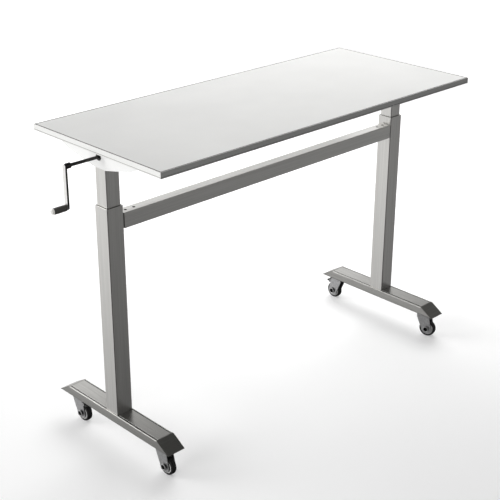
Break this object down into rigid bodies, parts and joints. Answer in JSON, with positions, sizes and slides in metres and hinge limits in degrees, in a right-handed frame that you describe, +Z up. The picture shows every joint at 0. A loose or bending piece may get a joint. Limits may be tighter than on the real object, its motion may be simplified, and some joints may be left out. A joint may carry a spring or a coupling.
{
  "type": "height adjustable standing desk",
  "caption": "Rectangular worktop on telescopic square columns with slanted feet and swivel castors, raised and lowered by a hand crank, bevel gears and lead screws.",
  "frame": {"origin": "on the floor, under the middle of the whole footprint with the crank included; the worktop's own middle is 78.5 mm towards +X", "axes": "+X along the worktop away from the crank, +Y towards the back, +Z up; the front edge faces -Y"},
  "size_m": [1.557, 0.6, 1.027],
  "materials": {
    "brushed_steel": "satin, brushed along the tube, clear lacquered",
    "end_plate": "satin, ground flush",
    "raw_steel": "cold rolled, oiled",
    "black_screw": "black oxide",
    "bronze": "machined",
    "black_glide": "moulded",
    "laminate": "light grey laminate on particle board, matt",
    "edge_abs": "light grey band, satin",
    "white_paint": "white powder coat",
    "cast_zinc": "die cast",
    "bearing_steel": "ground",
    "dark_steel": "turned, darkened",
    "gear_steel": "cut and oiled",
    "satin_nickel": "satin nickel plate",
    "grip_nylon": "moulded, fine grain",
    "zinc_plate": "bright zinc plate",
    "axle_steel": "dark zinc plate",
    "wheel_nylon": "grey moulded",
    "tyre_rubber": "matt black",
    "pedal_nylon": "moulded"
  },
  "bodies": {
    "frame": {"left_foot": "brushed_steel", "right_foot": "brushed_steel", "foot_end_plates": "end_plate", "left_outer_column": "brushed_steel", "right_outer_column": "brushed_steel", "column_base_plates": "raw_steel", "column_bolts": "black_screw", "nut_tubes": "raw_steel", "lead_nuts": "bronze", "upper_guides": "black_glide", "crossbeam": "brushed_steel", "beam_sockets": "raw_steel", "beam_screws": "black_screw", "castor_stems": "zinc_plate", "castor_races": "zinc_plate"},
    "lift": {"worktop": "laminate", "edge_band": "edge_abs", "left_bracket": "white_paint", "right_bracket": "white_paint", "worktop_screws": "raw_steel", "left_inner_column": "brushed_steel", "right_inner_column": "brushed_steel", "lower_guides": "black_glide", "gear_housings": "cast_zinc", "shaft_bushes": "black_glide", "screw_bearings": "bearing_steel"},
    "crank": {"crank_shaft": "dark_steel", "cross_rod": "dark_steel", "stub_shaft": "dark_steel", "shaft_couplings": "dark_steel", "drive_gears": "gear_steel", "crank_hub": "dark_steel", "crank_arm": "satin_nickel", "grip_pin": "satin_nickel"},
    "grip": {"crank_grip": "grip_nylon"},
    "left_screw": {"left_lead_screw": "bearing_steel", "left_screw_gear": "gear_steel", "left_stop_collar": "raw_steel"},
    "right_screw": {"right_lead_screw": "bearing_steel", "right_screw_gear": "gear_steel", "right_stop_collar": "raw_steel"},
    "left_front_swivel": {"left_front_fork": "zinc_plate", "left_front_axle": "axle_steel"},
    "left_front_roller": {"left_front_wheel": "wheel_nylon", "left_front_tyre": "tyre_rubber"},
    "left_back_swivel": {"left_back_fork": "zinc_plate", "left_back_axle": "axle_steel"},
    "left_back_roller": {"left_back_wheel": "wheel_nylon", "left_back_tyre": "tyre_rubber"},
    "left_back_brake": {"left_back_pedal": "pedal_nylon"},
    "right_front_swivel": {"right_front_fork": "zinc_plate", "right_front_axle": "axle_steel"},
    "right_front_roller": {"right_front_wheel": "wheel_nylon", "right_front_tyre": "tyre_rubber"},
    "right_back_swivel": {"right_back_fork": "zinc_plate", "right_back_axle": "axle_steel"},
    "right_back_roller": {"right_back_wheel": "wheel_nylon", "right_back_tyre": "tyre_rubber"},
    "right_back_brake": {"right_back_pedal": "pedal_nylon"}
  },
  "joints": [
    {"name": "crank_turn", "type": "hinge", "parent": "lift", "child": "crank", "pos_m": [0, 0, 0.992], "axis": [1, 0, 0], "range_deg": [-8280, 16920]},
    {"name": "lift_slide", "type": "slide", "parent": "frame", "child": "lift", "axis": [0, 0, 1], "range_m": [-0.115, 0.235]},
    {"name": "grip_spin", "type": "hinge", "parent": "crank", "child": "grip", "pos_m": [-0.754, 0, 0.868], "axis": [1, 0, 0], "continuous": true},
    {"name": "left_screw_turn", "type": "hinge", "parent": "lift", "child": "left_screw", "pos_m": [-0.5765, 0, 0.607], "axis": [0, 0, 1], "continuous": true},
    {"name": "right_screw_turn", "type": "hinge", "parent": "lift", "child": "right_screw", "pos_m": [0.7335, 0, 0.607], "axis": [0, 0, 1], "continuous": true},
    {"name": "left_front_swivel_turn", "type": "hinge", "parent": "frame", "child": "left_front_swivel", "pos_m": [-0.5765, -0.216, 0.089], "axis": [0, 0, 1], "continuous": true},
    {"name": "left_front_roll", "type": "hinge", "parent": "left_front_swivel", "child": "left_front_roller", "pos_m": [-0.5765, -0.238, 0.0315], "axis": [1, 0, 0], "continuous": true},
    {"name": "left_back_swivel_turn", "type": "hinge", "parent": "frame", "child": "left_back_swivel", "pos_m": [-0.5765, 0.216, 0.089], "axis": [0, 0, 1], "continuous": true},
    {"name": "left_back_roll", "type": "hinge", "parent": "left_back_swivel", "child": "left_back_roller", "pos_m": [-0.5765, 0.194, 0.0315], "axis": [1, 0, 0], "continuous": true},
    {"name": "left_back_brake_press", "type": "hinge", "parent": "left_back_swivel", "child": "left_back_brake", "pos_m": [-0.5765, 0.182, 0.0695], "axis": [1, 0, 0], "range_deg": [0, 25]},
    {"name": "right_front_swivel_turn", "type": "hinge", "parent": "frame", "child": "right_front_swivel", "pos_m": [0.7335, -0.216, 0.089], "axis": [0, 0, 1], "continuous": true},
    {"name": "right_front_roll", "type": "hinge", "parent": "right_front_swivel", "child": "right_front_roller", "pos_m": [0.73882, -0.23735, 0.0315], "axis": [0.9703, 0.2419, 0], "continuous": true},
    {"name": "right_back_swivel_turn", "type": "hinge", "parent": "frame", "child": "right_back_swivel", "pos_m": [0.7335, 0.216, 0.089], "axis": [0, 0, 1], "continuous": true},
    {"name": "right_back_roll", "type": "hinge", "parent": "right_back_swivel", "child": "right_back_roller", "pos_m": [0.7335, 0.238, 0.0315], "axis": [-1, 0, 0], "continuous": true},
    {"name": "right_back_brake_press", "type": "hinge", "parent": "right_back_swivel", "child": "right_back_brake", "pos_m": [0.7335, 0.25, 0.0695], "axis": [-1, 0, 0], "range_deg": [0, 25]}
  ],
  "couplings": [
    {"joint": "crank_turn", "follows": "lift_slide", "rad_per_m": 1256.6},
    {"joint": "left_screw_turn", "follows": "lift_slide", "rad_per_m": -1256.6},
    {"joint": "right_screw_turn", "follows": "lift_slide", "rad_per_m": -1256.6}
  ]
}
